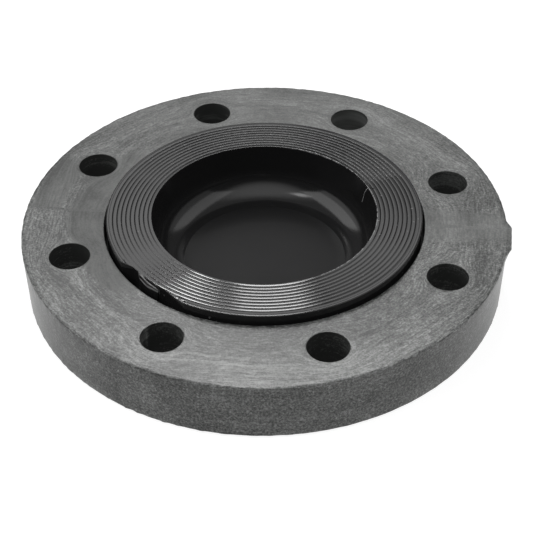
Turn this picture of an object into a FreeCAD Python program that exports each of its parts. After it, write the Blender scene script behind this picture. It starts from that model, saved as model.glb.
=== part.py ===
# Blank flange for a 4 inch pressure pipe, made of two loose mouldings.
# The backing ring is glass-filled plastic and carries the eight bolt holes. It lies flat on its back
# face. The blanking stub is a closed cup with a broad collar. It drops into the ring from above: the
# collar's underside rests on a shoulder in the ring, and the collar's grooved top face stands proud
# of the ring, where it is pressed against the gasket of the mating flange.
# Millimetres. The origin is the centre of the ring's back face, and +Z runs up through the bore
# towards the sealing face. Angles are measured from +X towards +Y.
import FreeCAD, Part
import math
import os

# Backing ring: outside
ring_diameter = 220.0
ring_thickness = 28.5
ring_back_chamfer = 1.0

# Backing ring: bolt holes
bolt_circle_diameter = 180.0
bolt_hole_diameter = 18.0
bolt_hole_count = 8
first_hole_deg = 16.5

# Backing ring: recess for the collar and bore for the hub
recess_depth = 10.0
recess_clearance = 1.1
bore_clearance = 1.4
seat_chamfer = 2.5

# Backing ring: remnant of the fan gate on the outer rim, flush with the top face
ring_gate_deg = -8.5
ring_gate_root_width = 25.0
ring_gate_tip_width = 15.0
ring_gate_height = 4.0
ring_gate_proud = 1.8
ring_gate_overlap = 2.0

# Blanking stub: collar
collar_diameter = 143.4
collar_proud = 4.0
collar_edge_chamfer = 0.5

# Blanking stub: cup and hub
mouth_diameter = 102.2
cup_fillet_radius = 13.2
cup_fillet_steps = 6
floor_thickness = 6.0
foot_clearance = 0.5
hub_wall = 7.0
hub_chamfer = 6.0

# Sealing face: concentric V grooves, side by side, as many as fit between the two lands
groove_pitch = 2.0
groove_depth = 0.45
inner_land = 0.6
least_outer_land = 1.9

# Sealing face: notch in the collar that holds the cut-off edge gate
notch_deg = -134.8
notch_mouth_width = 40.0
notch_floor_width = 22.0
notch_inset = 3.0
notch_depth = 7.0
notch_overrun = 3.0

# Broken gate inside the notch
gate_tab_start_deg = -142.0
gate_tab_end_deg = -129.5
gate_tab_thickness = 1.6
gate_tab_root = 0.5
gate_tab_start_drop = 0.6
gate_tab_end_drop = 4.4

# How far a cutting solid runs past the face it cuts
cut_overrun = 1.0

# Sizes that follow from those above
ring_radius = ring_diameter / 2
mouth_radius = mouth_diameter / 2
hub_radius = mouth_radius + hub_wall
collar_radius = collar_diameter / 2
recess_radius = collar_radius + recess_clearance
bore_radius = hub_radius + bore_clearance
seat_level = ring_thickness - recess_depth
face_level = ring_thickness + collar_proud
floor_level = foot_clearance + floor_thickness
grooved_width = collar_radius - least_outer_land - mouth_radius - inner_land
groove_count = math.floor(grooved_width / groove_pitch)


def at(radius, level):
    """A point of a half section, in the XZ plane."""
    return FreeCAD.Vector(radius, 0, level)


def polar(radius, degrees, level):
    """A point given by its radius, its angle from +X and its height."""
    angle = math.radians(degrees)
    return FreeCAD.Vector(radius * math.cos(angle), radius * math.sin(angle), level)


def turned(corners):
    """The solid that a closed section sweeps in one turn about the Z axis."""
    section = Part.Face(Part.makePolygon(corners + corners[:1]))
    return section.revolve(at(0, 0), FreeCAD.Vector(0, 0, 1), 360)


def ring_body():
    """The ring without its bolt holes: rim, collar recess, shoulder and chamfered bore."""
    return turned([
        at(bore_radius, 0),
        at(ring_radius - ring_back_chamfer, 0),
        at(ring_radius, ring_back_chamfer),
        at(ring_radius, ring_thickness),
        at(recess_radius, ring_thickness),
        at(recess_radius, seat_level),
        at(bore_radius + seat_chamfer, seat_level),
        at(bore_radius, seat_level - seat_chamfer),
    ])


def bolt_holes():
    """The bolt holes as cutting cylinders that run past both faces."""
    hole = Part.makeCylinder(bolt_hole_diameter / 2, ring_thickness + 2 * cut_overrun)
    holes = []
    for index in range(bolt_hole_count):
        angle = first_hole_deg + index * 360 / bolt_hole_count
        holes.append(hole.translated(polar(bolt_circle_diameter / 2, angle, -cut_overrun)))
    return holes


def ring_gate():
    """The cut-off fan gate: a low block that narrows outwards, with a sloped underside."""
    inner = ring_radius - ring_gate_overlap
    outer = ring_radius + ring_gate_proud
    bottom = ring_thickness - ring_gate_height
    lip = bottom + ring_gate_proud
    side = Part.makePolygon([
        at(inner, ring_thickness),
        at(outer, ring_thickness),
        at(outer, lip),
        at(ring_radius, bottom),
        at(inner, bottom),
        at(inner, ring_thickness),
    ])
    block = Part.Face(side).extrude(FreeCAD.Vector(0, ring_gate_root_width, 0))
    block.translate(FreeCAD.Vector(0, -ring_gate_root_width / 2, 0))
    root = ring_gate_root_width / 2
    tip = ring_gate_tip_width / 2
    rim = math.sqrt(ring_radius ** 2 - root ** 2)
    plan = Part.makePolygon([
        FreeCAD.Vector(inner, -root, 0),
        FreeCAD.Vector(rim, -root, 0),
        FreeCAD.Vector(outer, -tip, 0),
        FreeCAD.Vector(outer, tip, 0),
        FreeCAD.Vector(rim, root, 0),
        FreeCAD.Vector(inner, root, 0),
        FreeCAD.Vector(inner, -root, 0),
    ])
    column = Part.Face(plan).extrude(FreeCAD.Vector(0, 0, ring_thickness))
    gate = block.common(column)
    gate.rotate(at(0, 0), FreeCAD.Vector(0, 0, 1), ring_gate_deg)
    return gate


def backing_ring():
    """The whole backing ring."""
    return ring_body().fuse(ring_gate()).cut(bolt_holes()).removeSplitter()


def groove_points():
    """The grooved face from its outer to its inner edge: level crests and the valleys between them."""
    inner_crest = mouth_radius + inner_land
    points = []
    for index in reversed(range(groove_count)):
        outer_crest = inner_crest + (index + 1) * groove_pitch
        points.append(at(outer_crest, face_level))
        points.append(at(outer_crest - groove_pitch / 2, face_level - groove_depth))
    points.append(at(inner_crest, face_level))
    return points


def fillet_points():
    """The fillet from the cup's wall down to its floor: even steps along a quarter circle."""
    centre = at(mouth_radius - cup_fillet_radius, floor_level + cup_fillet_radius)
    points = []
    for index in range(cup_fillet_steps + 1):
        angle = math.radians(90 * index / cup_fillet_steps)
        points.append(centre + at(cup_fillet_radius * math.cos(angle), -cup_fillet_radius * math.sin(angle)))
    return points


def stub_body():
    """The stub without its notch: cup, hub, collar and grooved sealing face."""
    outside = [
        at(0, foot_clearance),
        at(hub_radius - hub_chamfer, foot_clearance),
        at(hub_radius, foot_clearance + hub_chamfer),
        at(hub_radius, seat_level),
        at(collar_radius, seat_level),
        at(collar_radius, face_level - collar_edge_chamfer),
        at(collar_radius - collar_edge_chamfer, face_level),
    ]
    mouth = [at(mouth_radius, face_level)]
    axis_point = [at(0, floor_level)]
    return turned(outside + groove_points() + mouth + fillet_points() + axis_point)


def notch():
    """The cutter for the notch: an arc-bottomed pocket with sloped ends, open to the outside."""
    inner = collar_radius - notch_inset
    outer = collar_radius + notch_overrun
    spread = (notch_mouth_width - notch_floor_width) / notch_inset
    outer_width = notch_mouth_width + spread * notch_overrun
    floor_half = math.degrees(notch_floor_width / 2 / inner)
    outer_half = math.degrees(outer_width / 2 / outer)
    bottom = face_level - notch_depth
    left = polar(inner, notch_deg - floor_half, bottom)
    middle = polar(inner, notch_deg, bottom)
    right = polar(inner, notch_deg + floor_half, bottom)
    far_right = polar(outer, notch_deg + outer_half, bottom)
    far_left = polar(outer, notch_deg - outer_half, bottom)
    edges = [
        Part.Arc(left, middle, right).toShape(),
        Part.makeLine(right, far_right),
        Part.Arc(far_right, polar(outer, notch_deg, bottom), far_left).toShape(),
        Part.makeLine(far_left, left),
    ]
    return Part.Face(Part.Wire(edges)).extrude(FreeCAD.Vector(0, 0, notch_depth + cut_overrun))


def broken_gate():
    """The gate left in the notch: a curved strip on its wall whose top slopes down to one side."""
    inner = collar_radius - notch_inset - gate_tab_root
    outer = collar_radius - notch_inset + gate_tab_thickness
    middle_deg = (gate_tab_start_deg + gate_tab_end_deg) / 2
    bottom = face_level - notch_depth - gate_tab_root
    inner_start = polar(inner, gate_tab_start_deg, bottom)
    inner_end = polar(inner, gate_tab_end_deg, bottom)
    outer_end = polar(outer, gate_tab_end_deg, bottom)
    outer_start = polar(outer, gate_tab_start_deg, bottom)
    edges = [
        Part.Arc(inner_start, polar(inner, middle_deg, bottom), inner_end).toShape(),
        Part.makeLine(inner_end, outer_end),
        Part.Arc(outer_end, polar(outer, middle_deg, bottom), outer_start).toShape(),
        Part.makeLine(outer_start, inner_start),
    ]
    strip = Part.Face(Part.Wire(edges)).extrude(FreeCAD.Vector(0, 0, face_level - bottom))
    high = polar(outer, gate_tab_start_deg, face_level - gate_tab_start_drop)
    low = polar(outer, gate_tab_end_deg, face_level - gate_tab_end_drop)
    along = low - high
    across = polar(1, middle_deg, 0)
    lift = FreeCAD.Vector(0, 0, notch_depth)
    corners = [
        high - along - across * notch_depth,
        low + along - across * notch_depth,
        low + along + across * notch_depth,
        high - along + across * notch_depth,
    ]
    slope = Part.Face(Part.makePolygon(corners + corners[:1])).extrude(lift)
    return strip.cut(slope)


def blanking_stub():
    """The whole blanking stub."""
    return stub_body().cut(notch()).fuse(broken_gate()).removeSplitter()


def main():
    """Write one STEP file for each piece."""
    os.makedirs("parts", exist_ok=True)
    pieces = {"backing_ring": backing_ring(), "blanking_stub": blanking_stub()}
    for name, shape in pieces.items():
        solid = shape.Solids[0]
        print(name, "solids", len(shape.Solids), "valid", shape.isValid(), "mm3", round(shape.Volume))
        solid.exportStep(f"parts/{name}.step")


main()
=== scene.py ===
import logging
import math
from dataclasses import dataclass, field
from enum import Enum

import bmesh
import bpy
import numpy as np
from mathutils import Matrix, Vector


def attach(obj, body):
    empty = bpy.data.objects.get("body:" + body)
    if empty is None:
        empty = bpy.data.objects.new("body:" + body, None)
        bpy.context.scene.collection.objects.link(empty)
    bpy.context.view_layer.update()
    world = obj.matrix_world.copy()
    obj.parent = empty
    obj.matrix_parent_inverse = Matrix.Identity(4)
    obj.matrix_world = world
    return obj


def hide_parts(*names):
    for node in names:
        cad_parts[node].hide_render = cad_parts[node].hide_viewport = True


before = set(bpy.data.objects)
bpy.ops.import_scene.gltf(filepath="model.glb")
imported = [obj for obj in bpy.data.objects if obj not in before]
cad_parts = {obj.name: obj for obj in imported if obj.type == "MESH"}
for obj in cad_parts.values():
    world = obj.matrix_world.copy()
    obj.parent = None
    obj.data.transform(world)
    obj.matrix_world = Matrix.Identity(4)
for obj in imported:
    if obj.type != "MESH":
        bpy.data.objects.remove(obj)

log = logging.getLogger("blank_flange")

MM = 0.001
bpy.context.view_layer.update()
Socket = bpy.types.NodeSocket
Value = Socket | float
PLASTIC_IOR = 1.49
WHITE = (1.0, 1.0, 1.0, 1.0)
Triple = tuple[float, float, float]
Array = np.ndarray


class Sum(Enum):
    """The sums that a material's Math nodes do."""

    ADD = "ADD"
    MULTIPLY = "MULTIPLY"
    HIGHEST = "MAXIMUM"
    ROOT = "SQRT"


class Zone(Enum):
    """The names of the point attributes that the finishes read."""

    FLOW = "flow"
    ZONES = "zones"
    SWIRL = "swirl"
    EDGE = "edge"
    SHADED_SIDE = "side"
    CUT = "cut"
    SHADED_HOLLOWS = "hole"
    TORN = "torn"


def smooth(low: float, high: float, value: Array) -> Array:
    """A soft step: 0 up to low, 1 from high on, and 3t^2 - 2t^3 between them.

    Args:
        low: Where the step starts.
        high: Where the step ends.
        value: The values to step.

    Returns:
        The stepped values, from 0 to 1.
    """
    t = np.clip((value - low) / (high - low), 0.0, 1.0)
    return t * t * (3.0 - 2.0 * t)


def turn_from(angle: Array, start: float) -> Array:
    """The signed turn from start to angle, in degrees, from -180 to 180."""
    return (angle - start + 180.0) % 360.0 - 180.0


def bell(angle: Array, middle: float, width: float) -> Array:
    """A soft hump round one angle: exp(-(d / width) ^ 2) at d degrees from its middle."""
    return np.exp(-(turn_from(angle, middle) / width) ** 2)


def polar(points: Array) -> tuple[Array, Array]:
    """The angles, in degrees, and the radii of points, seen along the axis."""
    return np.degrees(np.arctan2(points[:, 1], points[:, 0])), np.hypot(points[:, 0], points[:, 1])


def round_axis(angle: Array, radius: Array, level: Array) -> Array:
    """Points round the axis: x = r cos a, y = r sin a, z = level.

    Args:
        angle: Their angles, in degrees.
        radius: Their radii.
        level: Their heights.

    Returns:
        The points, on a grid as large as the three need together.
    """
    turn, radius, level = np.broadcast_arrays(np.radians(angle), radius, level)
    return np.stack([radius * np.cos(turn), radius * np.sin(turn), level], axis=-1)


def unit(vectors: Array) -> Array:
    """Vectors of length 1 in the same directions."""
    return vectors / np.linalg.norm(vectors, axis=-1, keepdims=True)


def ripple(angle: Array, lowest: int, highest: int, seed: int) -> Array:
    """An uneven line round a full turn: the sum of sines of whole waves, with random phases.

    Each wave number n from lowest to highest adds sin(n * angle + phase) / sqrt(n).

    Args:
        angle: The angles, in degrees.
        lowest: The fewest waves in a turn.
        highest: The most waves in a turn.
        seed: The seed of the random phases.

    Returns:
        The line's height at each angle, about -1 to 1.
    """
    waves = np.arange(lowest, highest + 1)
    phases = np.random.default_rng(seed).uniform(0.0, math.tau, waves.size)
    heights = np.sin(np.radians(angle)[..., None] * waves + phases) / np.sqrt(waves)
    return heights.sum(-1) / np.sqrt((0.5 / waves).sum()) / 2.5


def add_object(name: str, data: bpy.types.ID) -> bpy.types.Object:
    """Adds an object to the scene.

    Args:
        name: Its name.
        data: Its mesh, lamp or lens.

    Returns:
        The object.
    """
    thing = bpy.data.objects.new(name, data)
    bpy.context.scene.collection.objects.link(thing)
    return thing


@dataclass
class Form:
    """A surface of four-sided faces, in millimetres, that grows grid by grid.

    Points closer than weld are joined, edges shorter than sliver go, and edges that turn by more than
    crease, in degrees, stay sharp.
    """

    points: list[Array] = field(default_factory=list)
    faces: list[Array] = field(default_factory=list)
    count: int = 0
    weld: float = 0.002
    sliver: float = 0.0005
    crease: float = 40.0

    def add_grid(self, points: Array) -> None:
        """Adds a grid whose columns close on themselves.

        Row i and row i + 1 bound a band, and column j's neighbour is column j + 1, or 0 after the last.

        Args:
            points: The grid's points, rows by columns by three.
        """
        rows, columns = points.shape[:2]
        index = np.arange(rows * columns).reshape(rows, columns) + self.count
        ahead = np.roll(index, -1, axis=1)
        quads = np.stack([index[:-1], ahead[:-1], ahead[1:], index[1:]], axis=-1)
        self.points.append(points.reshape(-1, 3))
        self.faces.append(quads.reshape(-1, 4))
        self.count += rows * columns

    def piece(self, name: str) -> bpy.types.Object:
        """Makes the surface an object: seams and poles closed, faces outwards, smooth but for its corners.

        Args:
            name: The object's name.

        Returns:
            The object, at the origin and in metres.
        """
        mesh = bpy.data.meshes.new(name)
        mesh.from_pydata(np.concatenate(self.points) * MM, [], np.concatenate(self.faces).tolist())
        work = bmesh.new()
        work.from_mesh(mesh)
        bmesh.ops.remove_doubles(work, verts=work.verts, dist=self.weld * MM)
        bmesh.ops.dissolve_degenerate(work, edges=work.edges, dist=self.sliver * MM)
        bmesh.ops.recalc_face_normals(work, faces=work.faces)
        work.to_mesh(mesh)
        work.free()
        mesh.polygons.foreach_set("use_smooth", np.ones(len(mesh.polygons), bool))
        mesh.set_sharp_from_angle(angle=math.radians(self.crease))
        return add_object(name, mesh)


def places(thing: bpy.types.Object) -> Array:
    """Reads the points of a piece's mesh.

    Args:
        thing: The piece.

    Returns:
        The points in millimetres, one row each.
    """
    co = np.empty(len(thing.data.vertices) * 3, np.float32)
    thing.data.vertices.foreach_get("co", co)
    return co.reshape(-1, 3).astype(float) / MM


def mark(thing: bpy.types.Object, zone: Zone, values: Array) -> None:
    """Gives a piece a point attribute for its finish to read.

    Args:
        thing: The piece.
        zone: The attribute.
        values: One number for each point, or one row of three.
    """
    kind, slot = ("FLOAT_VECTOR", "vector") if values.ndim == 2 else ("FLOAT", "value")
    layer = thing.data.attributes.new(zone.value, kind, "POINT")
    layer.data.foreach_set(slot, values.astype(np.float32).ravel())


class Board:
    """A node tree, with short calls that add nodes and join them."""

    def __init__(self, tree: bpy.types.NodeTree) -> None:
        """Starts from an empty tree."""
        self.tree = tree
        self.tree.nodes.clear()

    def add(self, kind: str, inputs: dict[str | int, object], **settings: object) -> bpy.types.Node:
        """Adds a node.

        Args:
            kind: The node's type, without its leading ShaderNode.
            inputs: What goes into its sockets, by name or number: another socket, or a constant.
            settings: The node's own settings.

        Returns:
            The node.
        """
        node = self.tree.nodes.new("ShaderNode" + kind)
        for key, value in settings.items():
            setattr(node, key, value)
        for key, value in inputs.items():
            if isinstance(value, Socket):
                self.tree.links.new(value, node.inputs[key])
            else:
                node.inputs[key].default_value = value
        return node

    def sum(self, operation: Sum, first: Value, second: Value = 0.0) -> Socket:
        """One sum of two values."""
        return self.add("Math", {0: first, 1: second}, operation=operation.value).outputs[0]

    def times(self, first: Value, second: Value) -> Socket:
        """One value times another."""
        return self.sum(Sum.MULTIPLY, first, second)

    def total(self, start: Value, *terms: tuple[Value, float]) -> Socket:
        """A weighted sum.

        Args:
            start: What it starts from.
            terms: The values to add, each with its weight.

        Returns:
            start plus each term's value times its weight.
        """
        for value, weight in terms:
            wanted = {0: value, 1: weight, 2: start}
            start = self.add("Math", wanted, operation="MULTIPLY_ADD").outputs[0]
        return start

    def stretch(self, vector: Socket, scale: Triple, place: Triple = (0.0, 0.0, 0.0)) -> Socket:
        """A vector times a scale, plus a place."""
        return self.add("Mapping", {"Vector": vector, "Scale": scale, "Location": place}).outputs[0]

    def noise(self, vector: Socket, scale: Triple, place: Triple = (0.0, 0.0, 0.0),
              detail: float = 2.0, roughness: float = 0.5, output: str = "Fac") -> Socket:
        """Cloud noise with features one unit of the stretched vector across."""
        wanted = {"Vector": self.stretch(vector, scale, place), "Scale": 1.0, "Detail": detail,
                  "Roughness": roughness}
        return self.add("TexNoise", wanted).outputs[output]

    def span(self, value: Value, low: float, high: float, start: float = 0.0, end: float = 1.0) -> Socket:
        """Maps low to start and high to end, smoothly, and keeps to that range."""
        wanted = {"Value": value, "From Min": low, "From Max": high, "To Min": start, "To Max": end}
        return self.add("MapRange", wanted, interpolation_type="SMOOTHSTEP").outputs[0]

    def blend(self, share: Value, first: object, second: object) -> Socket:
        """Mixes two colours."""
        return self.add("Mix", {0: share, 6: first, 7: second}, data_type="RGBA").outputs[2]

    def ramp(self, value: Value, stops: list[tuple[float, Triple]]) -> Socket:
        """A colour read off a scale.

        Args:
            value: Where on the scale.
            stops: The scale's positions and colours.

        Returns:
            The colour.
        """
        node = self.add("ValToRGB", {0: value})
        scale = node.color_ramp.elements
        while len(scale) < len(stops):
            scale.new(0.5)
        for stop, (position, colour) in zip(scale, stops):
            stop.position = position
            stop.color = (*colour, 1.0)
        return node.outputs[0]

    def zone(self, zone: Zone, output: str = "Fac") -> Socket:
        """The piece's own attribute."""
        return self.add("Attribute", {}, attribute_name=zone.value).outputs[output]

    def millimetres(self) -> Socket:
        """Object coordinates in millimetres."""
        plain = self.add("TexCoord", {}).outputs["Object"]
        return self.stretch(plain, (1.0 / MM,) * 3)

    def plastic(self, colour: Value, gloss: Value, shine: Value, bump: bpy.types.Node) -> None:
        """Ends the tree with a plastic's shader.

        Args:
            colour: Its colour.
            gloss: Its roughness.
            shine: Its specular level.
            bump: Its bump node.
        """
        shader = self.add("BsdfPrincipled", {
            "Base Color": colour, "Roughness": gloss, "IOR": PLASTIC_IOR, "Normal": bump.outputs[0],
            "Specular IOR Level": shine})
        self.add("OutputMaterial", {0: shader.outputs[0]})


def new_material(name: str) -> tuple[bpy.types.Material, Board]:
    """Starts a material.

    Args:
        name: Its name.

    Returns:
        The material, and the board that adds its nodes.
    """
    made = bpy.data.materials.new(name)
    made.use_nodes = True
    return made, Board(made.node_tree)


@dataclass(frozen=True)
class GlassFilledPlastic:
    """Dark grey plastic full of short glass fibres: flow marks, fibre streaks and pale specks."""

    name: str = "glass_filled_plastic"
    darkest: Triple = (0.03, 0.031, 0.03)
    dark: Triple = (0.052, 0.054, 0.052)
    middle: Triple = (0.116, 0.119, 0.116)
    pale: Triple = (0.25, 0.255, 0.25)
    palest: Triple = (0.36, 0.365, 0.36)
    roughness: float = 0.35
    swirl_mm: float = 5.0
    bump_mm: float = 0.12

    def material(self) -> bpy.types.Material:
        """Builds the material.

        Returns:
            The material.
        """
        made, board = new_material(self.name)
        spot = board.millimetres()
        flow = board.zone(Zone.FLOW, "Vector")
        # light carries the flow marks and also painted sheen and shade: paler at the front and back right,
        # darker at the left.
        calm, streaky, light = board.add("SeparateXYZ", {0: board.zone(Zone.ZONES, "Vector")}).outputs
        swirl = board.zone(Zone.SWIRL)
        edge = board.zone(Zone.EDGE)
        # The outer side is painted darker, painted shade for light that falls from above; its texture is
        # toned down too.
        side = board.zone(Zone.SHADED_SIDE)
        # The hole walls and the hidden inside of the recess and bore are painted darker, painted shade, and
        # shine less.
        hole = board.zone(Zone.SHADED_HOLLOWS)
        level = board.total(1.0, (side, -0.8))
        cut = board.zone(Zone.CUT)

        # The flow bends in slow eddies, most where swirl is high
        eddy = board.noise(spot, (0.05,) * 3, output="Color")
        eddy = board.add("VectorMath", {0: eddy, 1: (0.5, 0.5, 0.5)}, operation="SUBTRACT").outputs[0]
        reach = board.total(1.6, (swirl, self.swirl_mm))
        shift = board.add("VectorMath", {0: eddy, 3: reach}, operation="SCALE").outputs[0]
        bent = board.add("VectorMath", {0: flow, 1: shift}, operation="ADD").outputs[0]

        def about_zero(noise: Socket, share: Value = 1.0) -> Socket:
            """Noise less its mean, times a share."""
            return board.times(board.total(-0.5, (noise, 1.0)), share)

        busy = board.total(1.0, (board.times(calm, level), -0.75), (side, 0.3), (hole, -0.5))
        lined = board.times(busy, level)
        lively = board.times(board.total(0.35, (streaky, 1.0)), level)
        broad = about_zero(board.noise(bent, (0.016, 0.11, 1.0)))
        strand = about_zero(board.noise(bent, (0.014, 0.6, 1.0), (7.0, 3.0, 0.0), 4.0, 0.6), lively)
        fibre = about_zero(board.noise(bent, (0.24, 1.25, 1.0), (1.0, 9.0, 0.0), 2.0, 0.6), lined)
        grain = about_zero(board.noise(spot, (1.1,) * 3, detail=3.0, roughness=0.72), busy)
        patch = about_zero(board.noise(spot, (0.04,) * 3, (4.0, 1.0, 2.0), 3.0, 0.6))
        fleck = board.noise(spot, (0.55,) * 3, (5.0, 5.0, 5.0), 1.0)
        fleck = board.times(board.span(fleck, 0.64, 0.76), busy)
        worn = about_zero(board.noise(spot, (0.5,) * 3, (2.0, 7.0, 1.0)), edge)
        tone = board.total(0.272, (broad, 0.55), (strand, 1.2), (fibre, 1.2), (grain, 1.75), (patch, 0.45),
                           (fleck, 0.17), (light, 0.28), (calm, -0.05), (worn, 0.85), (cut, 0.1),
                           (hole, -0.27), (side, -0.095))
        colour = board.ramp(tone, [(0.0, self.darkest), (0.06, self.dark), (0.34, self.middle),
                                   (0.69, self.pale), (0.95, self.palest)])

        height = board.total(0.0, (grain, 0.9), (fibre, 0.6), (strand, 0.5), (fleck, 0.3))
        bump = board.add("Bump", {"Strength": 0.6, "Distance": self.bump_mm * MM, "Height": height})
        gloss = board.total(self.roughness, (strand, 0.2), (grain, 0.25), (calm, 0.08))
        shine = board.total(0.5, (hole, -0.44))
        board.plastic(colour, gloss, shine, bump)
        return made


@dataclass(frozen=True)
class BlackPlastic:
    """Black moulded plastic: glossy in the cup and on the sealing face, dull on the cup's floor."""

    face: float
    groove_depth: float
    mouth_radius: float
    floor_radius: float
    name: str = "black_plastic"
    colour: Triple = (0.0135, 0.0135, 0.0138)
    dust_and_glint: Triple = (0.2, 0.2, 0.2)
    drawn: Triple = (0.4, 0.4, 0.4)
    cup_roughness: float = 0.15
    floor_roughness: float = 0.32
    face_roughness: float = 0.065
    corner_radius: float = 42.5
    shine: float = 0.5
    floor_shine: float = 0.055

    def material(self) -> bpy.types.Material:
        """Builds the material.

        Returns:
            The material.
        """
        made, board = new_material(self.name)
        spot = board.millimetres()
        torn = board.zone(Zone.TORN)
        across, along, up = board.add("SeparateXYZ", {0: spot}).outputs
        squares = board.sum(Sum.ADD, board.times(across, across), board.times(along, along))
        radius = board.sum(Sum.ROOT, squares)
        on_floor = board.span(radius, self.floor_radius - 0.6, self.floor_radius, 1.0, 0.0)
        low = board.span(radius, self.corner_radius - 1.5, self.corner_radius, 1.0, 0.0)
        on_face = board.span(radius, self.mouth_radius + 0.05, self.mouth_radius + 0.5)
        sunk = board.span(up, self.face - self.groove_depth, self.face - 0.05, 1.0, 0.0)
        sunk = board.times(sunk, on_face)
        grain = board.noise(spot, (1.2,) * 3, detail=3.0, roughness=0.6)
        slow = board.noise(spot, (0.08,) * 3, (3.0, 1.0, 0.0))
        cloud = board.noise(spot, (0.05,) * 3, (6.0, 4.0, 0.0), 3.0)
        gloss = board.total(self.cup_roughness, (on_floor, self.floor_roughness - self.cup_roughness),
                            (on_face, self.face_roughness - self.cup_roughness),
                            (board.total(-0.5, (cloud, 1.0)), 0.08), (sunk, 0.03), (torn, 0.15))
        low = board.sum(Sum.HIGHEST, on_floor, low)
        shine = board.total(self.shine, (low, self.floor_shine - self.shine), (sunk, -0.12))
        specks = board.noise(spot, (0.7,) * 3, (2.0, 8.0, 4.0), 0.0)
        specks = board.times(board.span(specks, 0.81, 0.85, 0.0, 0.55), on_face)
        # Pale broken marks along the mouth's rim on its right-hand side: partly dust, partly a painted
        # highlight of the rounded rim.
        rim_dust_and_glint = board.noise(spot, (0.45,) * 3, (9.0, 2.0, 4.0), 3.0, 0.7)
        rim_dust_and_glint = board.times(board.span(rim_dust_and_glint, 0.44, 0.52), board.span(across, 4.0, 24.0))
        mouth = board.times(board.span(radius, self.mouth_radius - 0.2, self.mouth_radius - 0.1),
                            board.span(radius, self.mouth_radius + 0.3, self.mouth_radius + 0.5, 1.0, 0.0))
        mouth = board.times(mouth, board.span(up, self.face - 0.6, self.face - 0.4))
        rim_dust_and_glint = board.times(rim_dust_and_glint, mouth)
        pulled = board.noise(spot, (0.5, 0.5, 2.5))
        pulled = board.times(board.span(pulled, 0.3, 0.62, 0.45, 1.0), torn)
        marks = board.sum(Sum.HIGHEST, specks, rim_dust_and_glint)
        colour = board.blend(marks, (*self.colour, 1.0), (*self.dust_and_glint, 1.0))
        colour = board.blend(pulled, colour, (*self.drawn, 1.0))
        height = board.total(0.0, (grain, 0.05), (slow, 1.0), (specks, 0.2))
        bump = board.add("Bump", {"Strength": 0.12, "Distance": 0.04 * MM, "Height": height})
        board.plastic(colour, gloss, shine, bump)
        return made


@dataclass(frozen=True)
class FlowMark:
    """A long pale or dark streak on the ring's face, from one place to another.

    A place is an angle in degrees and a radius. A strength above 0 is pale, and one below 0 dark.
    """

    start: tuple[float, float]
    end: tuple[float, float]
    width: float
    strength: float

    def shade(self, angle: Array, radius: Array, unrolled: float) -> Array:
        """How pale the streak makes the surface: its strength times exp(-(d / width) ^ 2) at d from it.

        Args:
            angle: The points' angles, in degrees.
            radius: The points' radii.
            unrolled: The radius at which the ring is unrolled to measure distances along it.

        Returns:
            The shade at each point.
        """
        along = np.radians(turn_from(angle, self.start[0])) * unrolled
        place = np.stack([along, radius - self.start[1]], axis=-1)
        whole = np.array([math.radians(self.end[0] - self.start[0]) * unrolled, self.end[1] - self.start[1]])
        share = np.clip(place @ whole / (whole @ whole), 0.0, 1.0)[..., None]
        away = np.linalg.norm(place - share * whole, axis=-1)
        return self.strength * np.exp(-(away / self.width) ** 2)


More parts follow.
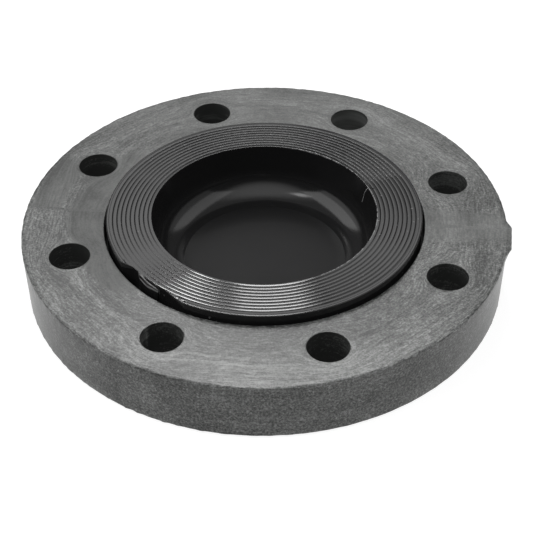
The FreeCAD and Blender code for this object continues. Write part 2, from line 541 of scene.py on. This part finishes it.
@dataclass
class BackingRing:
    """The loose ring with its bolt holes, recess and the remnant of its gate."""

    radius: float = 110.0
    foot_radius: float = 109.3
    thickness: float = 28.5
    top_edge: float = 0.8
    bottom_edge: float = 1.2
    bolt_circle: float = 90.0
    hole_radius: float = 9.0
    hole_edge: float = 0.3
    holes: int = 8
    first_hole: float = 16.5
    recess_radius: float = 72.8
    recess_depth: float = 10.0
    recess_edge: float = 0.35
    seat_chamfer: float = 2.5
    bore_radius: float = 59.5
    top_border: float = 1.9
    foot_border: float = 1.8
    recess_border: float = 1.4
    bore_border: float = 1.5
    gate_angle: float = -8.5
    gate_root: float = 25.0
    gate_tip: float = 15.0
    gate_height: float = 4.0
    gate_proud: float = 1.8
    weld_angle: float = 175.0
    halves_apart: float = 40.0
    flow_marks: tuple[FlowMark, ...] = tuple(FlowMark(*row) for row in (
        ((-158.0, 92.6), (-124.0, 88.6), 0.9, 0.6),
        ((-150.0, 95.0), (-130.0, 92.6), 1.5, -0.5),
        ((-147.0, 87.0), (-119.0, 86.4), 1.9, -0.6),
        ((-142.0, 91.0), (-119.0, 88.0), 0.6, 0.4),
        ((-128.5, 101.0), (-124.5, 109.0), 1.5, -0.5),
        ((-136.0, 99.0), (-119.0, 107.0), 1.1, 0.35),
        ((-131.0, 97.0), (-122.0, 104.0), 0.9, 0.4),
        ((-92.0, 87.0), (-75.0, 87.5), 2.4, -0.45),
        ((-66.0, 89.3), (-37.0, 89.0), 0.9, -0.45),
        ((-27.0, 102.0), (-15.0, 99.0), 4.5, -0.4),
        ((-13.5, 105.0), (-19.0, 79.0), 0.9, 0.35),
        ((-10.0, 103.0), (-14.5, 84.0), 1.2, -0.25),
        ((115.5, 89.6), (152.0, 104.5), 1.2, 0.35),
        ((119.0, 88.0), (139.0, 90.5), 2.2, -0.35),
        ((177.0, 100.0), (179.5, 106.0), 2.0, 0.4),
    ))
    steps_per_sector: int = 90
    side_steps: int = 14

    def angles(self) -> Array:
        """The angles of all columns, in degrees, from the border of the first hole's sector."""
        count = self.steps_per_sector * self.holes
        return self.first_hole - 180.0 / self.holes + np.arange(count) * 360.0 / count

    def turned(self, radius: Array, level: Array) -> Array:
        """Points with these radii and heights, one column for each angle."""
        return round_axis(self.angles(), radius, level)

    def rim(self) -> Array:
        """The outside: an uneven rounded top edge, the tapered side with the gate, and the bottom edge.

        The edge is a quarter circle whose radius changes round the ring. The gate pushes the side
        outwards to a flat plane, over a width that narrows outwards and a height that slopes below.

        Returns:
            The grid of points.
        """
        angle = self.angles()
        edge = self.top_edge * (1.0 + 0.3 * ripple(angle, 9, 60, 3) + 0.3 * ripple(angle, 60, 200, 4))
        edge = np.clip(edge, 0.25, 1.5)
        dent = 0.12 * ripple(angle, 40, 180, 5)
        bend = np.radians(np.linspace(0.0, 90.0, 6))[:, None]
        radius = [np.full_like(edge, self.radius - self.top_border)[None],
                  self.radius - edge * (1.0 - np.sin(bend)) + dent * np.sin(bend)]
        level = [np.full_like(edge, self.thickness)[None], self.thickness - edge * (1.0 - np.cos(bend))]
        down = np.linspace(0.0, 1.0, 12)[1:, None]
        start = self.thickness - edge
        level.append(start + (self.bottom_edge - start) * down)
        flash = np.clip(1.1 * ripple(angle, 50, 170, 9) + 0.5 * ripple(angle, 5, 20, 12), 0.0, 0.5)
        flash *= 0.25 + 0.75 * bell(angle, -117.0, 22.0)
        radius.append(self.radius + (self.foot_radius - self.radius) * down + dent * (1.0 - down) ** 6
                      + flash * down ** 14)
        under = np.radians(np.linspace(0.0, 90.0, 5))[1:, None]
        ragged = self.bottom_edge * (1.0 + 0.25 * ripple(angle, 20, 120, 6))
        radius.append(self.foot_radius + flash * np.cos(under) ** 2 - ragged * (1.0 - np.cos(under)))
        level.append(self.bottom_edge * (1.0 - np.sin(under)) + 0.0 * edge)
        radius.append(np.full_like(edge, self.foot_radius - self.foot_border)[None])
        level.append(np.zeros_like(edge)[None])
        radius, level = np.concatenate(radius), np.concatenate(level)

        turn = turn_from(angle, self.gate_angle)
        offset = np.abs(self.radius * np.sin(np.radians(turn)))
        width = np.clip((self.gate_root / 2 - offset) / (self.gate_root / 2 - self.gate_tip / 2), 0.0, 1.0)
        width = np.where(np.abs(turn) < 90.0, width, 0.0)
        lip = self.thickness - self.gate_height
        height = np.clip((level - lip) / self.gate_proud, 0.0, 1.0)
        reach = (self.radius + self.gate_proud) / np.cos(np.radians(turn)) - self.radius
        outside = smooth(self.radius - 1.6, self.radius - 0.8, radius)
        return self.turned(radius + reach * width * height * outside, level)

    def inside(self) -> Array:
        """The inside: the recess edge and wall, the seat, its chamfer and the bore.

        Returns:
            The grid of points.
        """
        edge, top, seat = self.recess_edge, self.thickness, self.thickness - self.recess_depth
        recess, bore = self.recess_radius, self.bore_radius
        bend = np.radians(np.linspace(0.0, 90.0, 4))[:, None]
        radius = [[recess + self.recess_border]], recess + edge * (1.0 - np.sin(bend))
        level = [[top]], top - edge * (1.0 - np.cos(bend))
        rest = np.array([
            (recess, top - 4.0), (recess, seat + 0.4), (recess - 0.4, seat), (recess - 4.0, seat),
            (bore + self.seat_chamfer, seat), (bore, seat - self.seat_chamfer), (bore, 8.0),
            (bore, 0.4), (bore + 0.4, 0.0), (bore + self.bore_border, 0.0)])
        radius = np.concatenate([*radius, rest[:, :1]])
        level = np.concatenate([*level, rest[:, 1:]])
        return self.turned(radius, level)

    def sector(self, number: int, inner: float, outer: float) -> Array:
        """The outline of the piece of a flat face round one hole: two arcs and two straight sides.

        Args:
            number: Which hole.
            inner: The radius of the inner arc.
            outer: The radius of the outer arc.

        Returns:
            The outline's points in the plane, in order round it.
        """
        first = number * self.steps_per_sector
        turn = np.radians(self.angles()[0] + (first + np.arange(self.steps_per_sector + 1)) * 360.0
                          / (self.steps_per_sector * self.holes))
        arc = np.stack([np.cos(turn), np.sin(turn)], axis=-1)
        share = np.linspace(0.0, 1.0, self.side_steps + 1)[1:-1, None]
        inwards = arc[-1] * (outer + (inner - outer) * share)
        outwards = arc[0] * (inner + (outer - inner) * share)
        return np.concatenate([outer * arc, inwards, inner * arc[::-1], outwards])

    def face_and_hole(self, number: int) -> list[Array]:
        """The two flat faces round one hole, and the hole's wall between them.

        A face runs in even steps from the hole's edge to the sector's outline. A point of the hole's
        edge lies in the direction of its outline point from the hole's centre.

        Args:
            number: Which hole.

        Returns:
            The grids of points: top face, wall, bottom face.
        """
        turn = math.radians(self.first_hole + number * 360.0 / self.holes)
        centre = self.bolt_circle * np.array([math.cos(turn), math.sin(turn)])
        top = self.sector(number, self.recess_radius + self.recess_border, self.radius - self.top_border)
        bottom = self.sector(number, self.bore_radius + self.bore_border,
                             self.foot_radius - self.foot_border)
        towards, below = unit(top - centre), unit(bottom - centre)
        wide = self.hole_radius + self.hole_edge

        def flat(start: Array, outline: Array, steps: int, level: float) -> Array:
            """A flat face from the hole's edge to an outline, at one height."""
            share = (np.linspace(0.0, 1.0, steps + 1) ** 1.3)[:, None, None]
            return np.pad(start + (outline - start) * share, [(0, 0), (0, 0), (0, 1)],
                          constant_values=level)

        bend = np.radians(np.linspace(0.0, 90.0, 4))
        radii = np.concatenate([wide - self.hole_edge * np.sin(bend), [self.hole_radius] * 2, [wide]])
        drop = self.hole_edge * (1.0 - np.cos(bend))
        levels = np.concatenate([self.thickness - drop, [self.thickness / 2, self.hole_edge, 0.0]])
        share = np.linspace(0.0, 1.0, radii.size)[:, None, None]
        wall = centre + unit(towards + (below - towards) * share) * radii[:, None, None]
        wall = np.concatenate([wall, np.broadcast_to(levels[:, None, None], (*wall.shape[:2], 1))], axis=-1)
        return [flat(centre + wide * towards, top, 17, self.thickness), wall,
                flat(centre + wide * below, bottom, 4, 0.0)]

    def flow(self, points: Array) -> Array:
        """How the melt ran: along it, across it and which side, in millimetres.

        The melt runs both ways round the ring from the gate to the weld line. Across is the distance
        from the bolt circle, folded down over the side, and round each hole both coordinates change
        as in a stream past a post: d becomes d (1 - a^2 / p^2) across and d (1 + a^2 / p^2) along.

        Args:
            points: The ring's points.

        Returns:
            One row of three for each point.
        """
        angle, radius = polar(points)
        across = radius - self.bolt_circle
        along = np.radians(turn_from(angle, self.weld_angle - 180.0)) * self.bolt_circle
        bent_across = across + (self.thickness - points[:, 2])
        bent_along = along.copy()
        for number in range(self.holes):
            hole = self.first_hole + number * 360.0 / self.holes
            past = np.radians(turn_from(angle, hole)) * self.bolt_circle
            share = self.hole_radius ** 2 / np.maximum(across ** 2 + past ** 2, self.hole_radius ** 2)
            bent_across -= across * share
            bent_along += past * share
        return np.stack([bent_along, bent_across, np.sign(along) * self.halves_apart], axis=-1)

    def zones(self, angle: Array, radius: Array) -> Array:
        """How calm and how streaky the surface is, each from 0 to 1, and how much paler or darker, from flow
        marks and from painted sheen and shade.

        Args:
            angle: The points' angles, in degrees.
            radius: The points' radii.

        Returns:
            One row of three for each point.
        """
        shore = 90.0 - 0.17 * np.abs(turn_from(angle, 178.0)) + 0.8 * ripple(angle, 8, 40, 11)
        lake = smooth(46.0, 34.0, np.abs(turn_from(angle, 180.0))) * smooth(1.0, -1.0, radius - shore)
        upper = smooth(16.0, 10.0, np.abs(turn_from(angle, 165.0)))
        upper = upper * smooth(1.5, -1.5, np.abs(radius - 101.0) - 7.0) * smooth(174.8, 174.2, angle)
        plume = smooth(9.0, 5.0, np.abs(turn_from(angle, -5.0)) + 0.12 * (radius - 90.0))
        calm = lake + 0.8 * upper + 0.75 * plume + 0.75 * bell(angle, 84.0, 66.0)
        streaky = bell(angle, -150.0, 34.0) * smooth(82.0, 87.0, radius) * smooth(103.0, 98.0, radius)
        streaky = 1.3 * streaky + 0.9 * bell(angle, -96.0, 24.0) * smooth(84.0, 96.0, radius)
        # Painted sheen and shade: paler towards the front, more so further out and darker close to the
        # collar there, paler at the back right and darker at the left.
        light = bell(angle, -84.0, 38.0) * (1.2 * smooth(78.0, 104.0, radius) - 0.35) + 0.3 * plume
        light += 0.5 * bell(angle, 60.0, 50.0) - 0.3 * bell(angle, 165.0, 46.0)
        light -= 0.12 * bell(angle, 20.0, 30.0)
        light += sum(streak.shade(angle, radius, self.bolt_circle) for streak in self.flow_marks)
        return np.stack([np.clip(calm, 0.0, 1.0), np.clip(streaky, 0.0, 1.0), light], axis=-1)

    def build(self) -> bpy.types.Object:
        """Makes the ring, finishes it and puts it in place of its plain solid.

        Returns:
            The ring.
        """
        form = Form()
        form.add_grid(self.rim())
        form.add_grid(self.inside())
        for number in range(self.holes):
            for grid in self.face_and_hole(number):
                form.add_grid(grid)
        ring = form.piece("backing_ring_moulding")
        points = places(ring)
        angle, radius = polar(points)
        mark(ring, Zone.FLOW, self.flow(points))
        mark(ring, Zone.ZONES, self.zones(angle, radius))
        level = points[:, 2]
        mark(ring, Zone.SWIRL, bell(angle, -132.0, 20.0) * smooth(92.0, 104.0, radius))
        edge = smooth(self.thickness - 1.3, self.thickness - 0.5, level)
        mark(ring, Zone.EDGE, smooth(self.radius - 1.2, self.radius - 0.3, radius) * edge)
        # The outer side below the top edge, which its finish paints darker as painted shade.
        side = smooth(self.thickness, self.thickness - 1.5, level)
        mark(ring, Zone.SHADED_SIDE, smooth(self.radius - 1.6, self.radius - 0.6, radius) * side)
        mark(ring, Zone.CUT, smooth(self.radius + 0.7, self.radius + self.gate_proud, radius))
        pitch = 360.0 / self.holes
        nearest = self.first_hole + np.round((angle - self.first_hole) / pitch) * pitch
        away = np.linalg.norm(points - round_axis(nearest, self.bolt_circle, level), axis=-1)
        # Hole walls and the inside below the recess edge, which the finish paints darker as painted shade.
        hidden = (radius < self.recess_radius + 0.05) & (level > 1.0)
        wall = smooth(self.hole_radius + 0.15, self.hole_radius + 0.05, away)
        mark(ring, Zone.SHADED_HOLLOWS, np.maximum(wall, hidden))
        ring.data.materials.append(GlassFilledPlastic().material())
        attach(ring, "root")
        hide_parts("backing_ring")
        return ring


@dataclass
class BlankingStub:
    """The black closed cup with its broad grooved collar."""

    face: float = 32.5
    collar_radius: float = 71.7
    collar_edge: float = 0.5
    mouth_radius: float = 51.1
    mouth_edge: float = 0.15
    floor: float = 6.5
    floor_radius: float = 37.6
    floor_slope: float = 6.0
    fillet: float = 13.2
    underside: float = 18.5
    hub_radius: float = 58.1
    hub_chamfer: float = 6.0
    foot: float = 0.5
    grooves: int = 9
    groove_pitch: float = 2.0
    groove_width: float = 0.56
    groove_depth: float = 0.14
    ridge_crown: float = 0.07
    first_groove: float = 52.7
    line_radius: float = 70.35
    faint_grooves: float = -147.0
    notch_floor: float = 68.8
    notch_bottom: float = 22.0
    notch_turns: tuple[float, float, float, float] = (-151.2, -146.0, -128.0, -118.8)
    gate_turns: tuple[float, float] = (-141.7, -131.6)
    gate_thickness: float = 1.6
    whisker_radius: float = 0.19
    whisker_path: tuple[Triple, ...] = (
        (50.9, 16.2, 32.6), (48.0, 15.9, 33.2), (46.6, 15.0, 31.4), (45.9, 14.6, 28.0), (45.4, 14.3, 26.2))
    columns: int = 600

    def groove_drop(self, radius: Array) -> Array:
        """How far the sealing face lies below its level at these radii.

        A groove is a cosine valley, (1 + cos(2 pi d / width)) / 2 deep at d from its middle. The ridges
        between are crowned: they drop by the square of the distance from their middle.

        Args:
            radius: The radii.

        Returns:
            The depth at each radius.
        """
        number = np.clip(np.round((radius - self.first_groove) / self.groove_pitch), 0, self.grooves - 1)
        away = np.abs(radius - self.first_groove - number * self.groove_pitch)
        valley = 0.5 + 0.5 * np.cos(math.tau * np.minimum(away / self.groove_width, 0.5))
        crown = self.ridge_crown * np.maximum(self.groove_pitch / 2 - away, 0.0) ** 2
        line = np.where(np.abs(radius - self.line_radius) < 0.08, 0.12, 0.0)
        return self.groove_depth * valley ** 0.8 + crown + line

    def face_radii(self) -> Array:
        """The radii of the sealing face's rows: close together in each groove and at the fine line.

        Returns:
            The radii, from the inner land outwards.
        """
        steps = np.array([-0.58, -0.5, -0.42, -0.24, 0.0, 0.24, 0.42, 0.5, 0.58]) * self.groove_width
        middles = self.first_groove + np.arange(self.grooves) * self.groove_pitch
        steps = np.append(steps, self.groove_pitch / 2)
        line = self.line_radius + np.array([-0.16, -0.07, 0.07, 0.16])
        start = [self.first_groove - self.groove_pitch / 2]
        return np.concatenate([start, (middles[:, None] + steps).ravel(), line])

    def section(self) -> tuple[Array, Array]:
        """The half section from the middle of the cup's floor out, round the collar and under to the foot.

        Returns:
            The radii and the heights of its points.
        """
        face, mouth, collar, hub = self.face, self.mouth_radius, self.collar_radius, self.hub_radius
        seat, foot, ledge = self.underside, self.foot, self.notch_bottom
        slope = math.radians(self.floor_slope)
        bend = np.radians(np.linspace(90.0 - self.floor_slope, 0.0, 16))
        corner = mouth - self.fillet
        cone = corner + self.fillet * math.sin(slope) - self.floor_radius
        centre = self.floor + cone * math.tan(slope) + self.fillet * math.cos(slope)
        lip = np.radians(np.linspace(180.0, 90.0, 5))
        brow = np.radians(np.linspace(90.0, 0.0, 6))
        radii = self.face_radii()
        outer = collar - self.collar_edge
        rows = [
            np.stack([np.array([0.0, 5.0, 12.0, 20.0, 28.0, 33.0]), np.full(6, self.floor)], -1),
            np.array([(self.floor_radius - 0.6, self.floor), (self.floor_radius - 0.3, self.floor + 0.05),
                      (self.floor_radius, self.floor)]),
            np.stack([corner + self.fillet * np.cos(bend), centre - self.fillet * np.sin(bend)], -1),
            np.array([(mouth, face - 6.0), (mouth, face - 1.2)]),
            np.stack([mouth + self.mouth_edge * (1.0 + np.cos(lip)),
                      face - self.mouth_edge * (1.0 - np.sin(lip))], -1),
            np.array([(mouth + self.mouth_edge + 0.1, face)]),
            np.stack([radii, face - self.groove_drop(radii)], -1),
            np.array([(outer - 0.15, face)]),
            np.stack([outer + self.collar_edge * np.cos(brow),
                      face - self.collar_edge * (1.0 - np.sin(brow))], -1),
            np.array([
                (collar, face - 2.4), (collar, face - 4.6), (collar, ledge + 0.1), (collar, ledge - 0.2),
                (collar, seat + 0.6), (collar - 0.6, seat), (hub + 1.0, seat), (hub, seat - 1.0),
                (hub, foot + self.hub_chamfer), (hub - self.hub_chamfer, foot), (hub * 0.5, foot),
                (0.0, foot)]),
        ]
        section = np.concatenate(rows)
        return section[:, 0], section[:, 1]

    def notched(self, angle: Array, radius: Array, level: Array) -> tuple[Array, Array]:
        """Draws the collar's rim in where the notch is, and lets its wall drop to a ledge.

        The wall's radius goes from the collar's to the notch floor's along two slopes. The face's rows
        from 1 mm inside that floor move in by the same share, and the side's rows above the ledge follow.

        Args:
            angle: The columns' angles, in degrees.
            radius: The section's radii, one row each.
            level: The section's heights, one row each.

        Returns:
            The radii and heights of every point, rows by columns.
        """
        start, down, up, end = self.notch_turns
        collar, floor = self.collar_radius, self.notch_floor
        wall = np.interp(angle, [start, down, up, end], [collar, floor, floor, collar])
        wall = wall + 0.15 * ripple(angle, 30, 90, 8) * smooth(0.2, 1.2, collar - wall)
        radius = radius[:, None] + np.zeros_like(angle)
        level = level[:, None] + np.zeros_like(angle)
        fixed = floor - 1.0
        share = (wall - fixed) / (collar - fixed)
        rim = (radius > fixed) & (level > self.notch_bottom)
        moved = fixed + (radius - fixed) * share
        brow = radius > collar - self.collar_edge
        radius = np.where(rim, moved, radius)
        faint = 1.0 - 0.88 * bell(angle, self.faint_grooves, 24.0)
        drop = self.groove_drop(radius) * np.where(radius < floor + 0.7, faint, 1.0)
        drop = np.where(brow, (self.face - level) * share, drop)
        on_top = (radius > self.first_groove - 0.6) & (level > self.face - self.collar_edge - 0.2)
        return radius, np.where(on_top, self.face - drop, level)

    def gate_top(self, share: Array) -> Array:
        """The height of the broken gate's top at a share of its length."""
        return self.face - 0.35 - 1.7 * share ** 1.3 + 0.2 * np.sin(9.0 * share)

    def broken_gate(self) -> Array:
        """The gate's stump in the notch: a curved blade that narrows and slopes down to one side.

        Across, its section is a flattened oval, and its half thickness is that of a leaf, sin(pi t) ^ 0.6
        at the share t of its length.

        Returns:
            The grid of points, one row for each step along it.
        """
        share = np.linspace(0.0, 1.0, 25)[:, None]
        round_it = np.linspace(0.0, math.tau, 48, endpoint=False)
        start, end = self.gate_turns
        thick = self.gate_thickness / 2 * np.sin(math.pi * share) ** 0.6
        top = self.gate_top(share)
        foot = self.notch_bottom - 0.3
        lean = 0.35 * np.sin(round_it)
        radius = self.notch_floor + self.gate_thickness / 2 - 0.3 + thick * np.cos(round_it) - lean
        level = (top + foot) / 2 + (top - foot) / 2 * np.sin(round_it)
        return round_axis(start + (end - start) * share, radius, level)

    def whisker(self) -> Array:
        """The thin whisker of plastic that hangs from the mouth: a tube along a smooth curve.

        Returns:
            The grid of points, one row for each step along it.
        """
        stations = np.linspace(0.0, 1.0, len(self.whisker_path))
        share = np.linspace(0.0, 1.0, 21)
        columns = np.array(self.whisker_path).T
        path = np.stack([np.interp(share, stations, column) for column in columns], axis=-1)
        path[1:-1] = (path[:-2] + 2.0 * path[1:-1] + path[2:]) / 4.0
        around = np.linspace(0.0, math.tau, 6, endpoint=False)
        thick = self.whisker_radius * (1.0 - 0.5 * share)[:, None]
        wide, high = thick * np.cos(around), thick * np.sin(around)
        return path[:, None, :] + np.stack([wide, 0.6 * high, 0.8 * high], axis=-1)

    def torn(self, points: Array) -> Array:
        """How pale the plastic is pulled: the whisker, the broken gate's top edge and a line below it.

        Args:
            points: The stub's points.

        Returns:
            The share at each point.
        """
        turn, radius = polar(points)
        start, end = self.gate_turns
        share = (turn - start) / (end - start)
        gate = (share > -0.05) & (share < 1.05) & (radius > self.notch_floor - 0.2)
        below = self.gate_top(np.clip(share, 0.0, 1.0)) - points[:, 2]
        lines = np.exp(-(below / 0.35) ** 2) + np.exp(-((below - 2.3 + 1.2 * share) / 0.3) ** 2)
        whisker = (radius < self.mouth_radius - 0.1) & (points[:, 2] > self.notch_bottom + 0.3)
        return np.where(gate, lines, whisker)

    def build(self) -> bpy.types.Object:
        """Makes the stub, finishes it and puts it in place of its plain solid.

        Returns:
            The stub.
        """
        angle = np.arange(self.columns) * 360.0 / self.columns - 180.0
        form = Form()
        form.add_grid(round_axis(angle, *self.notched(angle, *self.section())))
        form.add_grid(self.broken_gate())
        form.add_grid(self.whisker())
        stub = form.piece("blanking_stub_moulding")
        mark(stub, Zone.TORN, self.torn(places(stub)))
        finish = BlackPlastic(self.face, self.groove_depth, self.mouth_radius, self.floor_radius)
        stub.data.materials.append(finish.material())
        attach(stub, "root")
        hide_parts("blanking_stub")
        return stub


@dataclass(frozen=True)
class Softbox:
    """A lamp behind a white cloth, turned to the object."""

    name: str
    azimuth: float
    elevation: float
    width: float
    height: float
    brightness: float
    distance: float = 1.6

    def place(self, centre: Vector) -> None:
        """Adds the lamp.

        Azimuth is measured from +Y towards +X, and width and height are the angles that it fills.

        Args:
            centre: The point that it faces.
        """
        turn, rise = math.radians(self.azimuth), math.radians(self.elevation)
        away = Vector((math.sin(turn) * math.cos(rise), math.cos(turn) * math.cos(rise), math.sin(rise)))
        lamp = bpy.data.lights.new(self.name, "AREA")
        lamp.shape = "RECTANGLE"
        lamp.size = 2.0 * self.distance * math.tan(math.radians(self.width / 2))
        lamp.size_y = 2.0 * self.distance * math.tan(math.radians(self.height / 2))
        lamp.energy = self.brightness * lamp.size * lamp.size_y * math.pi
        thing = add_object(self.name, lamp)
        facing = away.to_track_quat("Z", "Y").to_matrix().to_4x4()
        thing.matrix_world = Matrix.Translation(centre + away * self.distance) @ facing


@dataclass
class Studio:
    """The pale floor, the light and the camera."""

    view_distance: float = 0.6497395
    view_elevation: float = 37.844
    view_roll: float = -0.7116
    focal_pixels: float = 1425.264
    photo_pixels: float = 533.0
    centre_pixel: tuple[float, float] = (264.307, 218.139)
    looked_at: Triple = (0.0, 0.0, 0.0285)
    sensor: float = 36.0
    glow_elevation: float = 61.0

    def camera(self) -> None:
        """Adds the camera: it looks at the ring's top, and turns until that point has its pixel."""
        rise, roll = math.radians(self.view_elevation), math.radians(self.view_roll)
        back = Vector((0.0, -math.cos(rise), math.sin(rise)))
        right, up = Vector((1.0, 0.0, 0.0)), Vector((0.0, math.sin(rise), math.cos(rise)))
        axes = Matrix((math.cos(roll) * right + math.sin(roll) * up,
                       math.cos(roll) * up - math.sin(roll) * right, back)).transposed()
        half = self.photo_pixels / 2
        ray = Vector((self.centre_pixel[0] - half, half - self.centre_pixel[1], -self.focal_pixels))
        aim = Vector((0.0, 0.0, -1.0)).rotation_difference(ray).to_matrix().transposed()
        lens = bpy.data.cameras.new("camera")
        lens.sensor_width = self.sensor
        lens.lens = self.focal_pixels * self.sensor / self.photo_pixels
        thing = add_object("camera", lens)
        place = Vector(self.looked_at) + back * self.view_distance
        thing.matrix_world = Matrix.Translation(place) @ (axes @ aim).to_4x4()
        bpy.context.scene.camera = thing

    def floor(self) -> None:
        """Adds the white floor: for the camera it glows white but for the object's shadow."""
        mesh = bpy.data.meshes.new("floor")
        half, level = 4.0, -0.0003
        corners = [(-half, -half, level), (half, -half, level), (half, half, level), (-half, half, level)]
        mesh.from_pydata(corners, [], [(0, 1, 2, 3)])
        thing = add_object("floor", mesh)
        made, board = new_material("floor_paper")
        shade = board.add("BsdfDiffuse", {"Color": (0.3, 0.3, 0.3, 1.0)})
        white = board.add("Emission", {"Color": WHITE, "Strength": 0.85})
        seen = board.add("AddShader", {0: shade.outputs[0], 1: white.outputs[0]})
        along = board.add("SeparateXYZ", {0: board.millimetres()}).outputs[1]
        bright = board.span(along, -150.0, 0.0, 0.12, 0.85)
        paper = board.add("BsdfDiffuse", {"Color": (0.45, 0.45, 0.45, 1.0)})
        lit = board.add("Emission", {"Color": WHITE, "Strength": bright})
        unseen = board.add("AddShader", {0: paper.outputs[0], 1: lit.outputs[0]})
        path = board.add("LightPath", {})
        showing = board.sum(Sum.HIGHEST, path.outputs["Is Camera Ray"], path.outputs["Is Transmission Ray"])
        mixed = board.add("MixShader", {0: showing, 1: unseen.outputs[0], 2: seen.outputs[0]})
        board.add("OutputMaterial", {0: mixed.outputs[0]})
        mesh.materials.append(made)

    def surroundings(self) -> None:
        """Sets the world: white behind the object, and a soft room that is dimmer on the camera's side."""
        world = bpy.data.worlds.new("studio")
        world.use_nodes = True
        bpy.context.scene.world = world
        board = Board(world.node_tree)
        path = board.add("LightPath", {})
        direction = board.add("TexCoord", {}).outputs["Generated"]
        side, behind, height = board.add("SeparateXYZ", {0: direction}).outputs
        rise = math.radians(self.glow_elevation)
        axis = (0.0, -math.cos(rise), math.sin(rise))
        towards = board.add("VectorMath", {0: direction, 1: axis}, operation="DOT_PRODUCT").outputs["Value"]
        glow = board.span(towards, math.cos(math.radians(42.0)), math.cos(math.radians(8.0)), 0.0, 0.95)
        overhead = board.span(height, 0.6, 0.95, 0.0, 0.15)
        dim = board.span(behind, -0.5, 0.4, 0.045, 0.14)
        low = board.span(height, 0.5, 0.55, 0.0, 1.0)
        middle = board.span(height, 0.57, 0.61, 0.0, 0.85)
        high = board.span(height, 0.665, 0.75, 1.0, 0.0)
        aside = board.span(board.sum(Sum.ROOT, board.times(side, side)), 0.13, 0.3, 1.0, 0.0)
        shade = board.times(board.span(side, 0.015, 0.035), board.span(height, 0.585, 0.635, 1.0, 0.0))
        aside = board.times(aside, board.total(1.0, (shade, -0.6)))
        back = board.span(behind, 0.2, 0.4)
        backdrop = board.times(board.sum(Sum.ADD, low, middle), board.times(high, aside))
        backdrop = board.times(backdrop, back)
        strength = board.total(overhead, (dim, 1.0), (backdrop, 1.0), (glow, 1.0))
        room = board.add("Background", {"Color": WHITE, "Strength": strength})
        white = board.add("Background", {"Color": WHITE, "Strength": 1.0})
        seen = path.outputs["Is Camera Ray"]
        mixed = board.add("MixShader", {0: seen, 1: room.outputs[0], 2: white.outputs[0]})
        board.add("OutputWorld", {0: mixed.outputs[0]})

    def build(self) -> None:
        """Adds everything round the object."""
        centre = Vector(self.looked_at)
        lamps = [
            Softbox("left_softbox", -87.0, 43.0, 60.0, 28.0, 1.85),
            Softbox("left_low_softbox", -87.0, 21.0, 60.0, 18.0, 0.8),
            Softbox("left_lamp", -121.0, 60.0, 9.0, 13.0, 4.5),
            Softbox("right_softbox", 90.0, 47.5, 62.0, 28.0, 1.1),
            Softbox("right_low_softbox", 90.0, 23.0, 62.0, 20.0, 0.35),
            Softbox("back_lamp_left", -8.0, 52.2, 3.4, 18.0, 22.0, 5.0),
            Softbox("back_lamp_right", 0.6, 52.6, 5.0, 18.0, 14.0, 5.0),
        ]
        for lamp in lamps:
            lamp.place(centre)
        self.floor()
        self.surroundings()
        self.camera()
        bpy.context.scene.view_settings.view_transform = "Standard"


def main() -> None:
    """Builds the pieces and the studio, and reports each piece."""
    logging.basicConfig(level=logging.INFO, format="%(name)s: %(message)s")
    for maker in (BackingRing(), BlankingStub()):
        piece = maker.build()
        piece.data.calc_loop_triangles()
        log.info("%s has %d triangles", piece.name, len(piece.data.loop_triangles))
    Studio().build()


if __name__ == "__main__":
    main()
